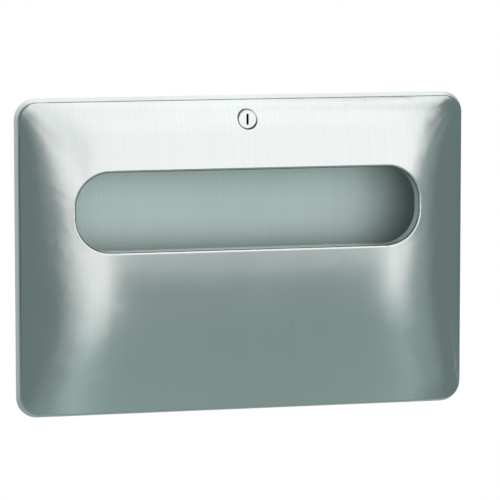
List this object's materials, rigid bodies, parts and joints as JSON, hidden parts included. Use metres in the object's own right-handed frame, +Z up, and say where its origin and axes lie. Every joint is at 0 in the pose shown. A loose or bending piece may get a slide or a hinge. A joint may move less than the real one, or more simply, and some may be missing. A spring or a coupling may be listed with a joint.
{
  "type": "toilet seat cover dispenser",
  "caption": "Wall-recessed seat cover dispenser: a brushed stainless cabinet with a thin rim flange and a crowned, bottom-hinged, key-locked door with a long rounded opening.",
  "frame": {"origin": "centre of the four wall screw holes, on the back face of the cabinet", "axes": "+X to the right and +Z up as seen from the front; the door faces -Y and the cabinet goes into the wall towards +Y"},
  "size_m": [0.4446, 0.0758, 0.3054],
  "materials": {
    "door_stainless": "satin, grain upright",
    "satin_stainless": "satin",
    "hinge_stainless": "rolled",
    "rivet_stainless": "smooth",
    "lock_chrome": "polished",
    "plated_steel": "zinc plated",
    "bumper_rubber": "matt"
  },
  "bodies": {
    "cabinet": {"cabinet_box": "satin_stainless", "rim_flange": "satin_stainless", "cabinet_hinge_leaf": "hinge_stainless", "cabinet_leaf_rivets": "rivet_stainless", "hinge_pin": "hinge_stainless", "strike": "hinge_stainless", "strike_rivets": "rivet_stainless", "pack_retainer": "satin_stainless", "door_bumpers": "bumper_rubber"},
    "door": {"door_shell": "door_stainless", "door_bottom_channel": "satin_stainless", "door_stiffener_left": "satin_stainless", "door_stiffener_right": "satin_stainless", "door_hinge_leaf": "hinge_stainless", "door_leaf_rivets": "rivet_stainless", "lock_bracket": "satin_stainless", "lock_body": "lock_chrome", "lock_washer": "plated_steel", "lock_nut": "plated_steel"},
    "plug": {"lock_plug": "lock_chrome", "lock_cam": "plated_steel", "cam_washer": "plated_steel", "cam_nut": "plated_steel"}
  },
  "joints": [
    {"name": "door_hinge", "type": "hinge", "parent": "cabinet", "child": "door", "pos_m": [0, -0.0431, -0.1468], "axis": [1, 0, 0], "range_deg": [0, 90]},
    {"name": "lock_turn", "type": "hinge", "parent": "door", "child": "plug", "pos_m": [0, -0.0473, 0.131], "axis": [0, -1, 0], "range_deg": [0, 90]}
  ]
}
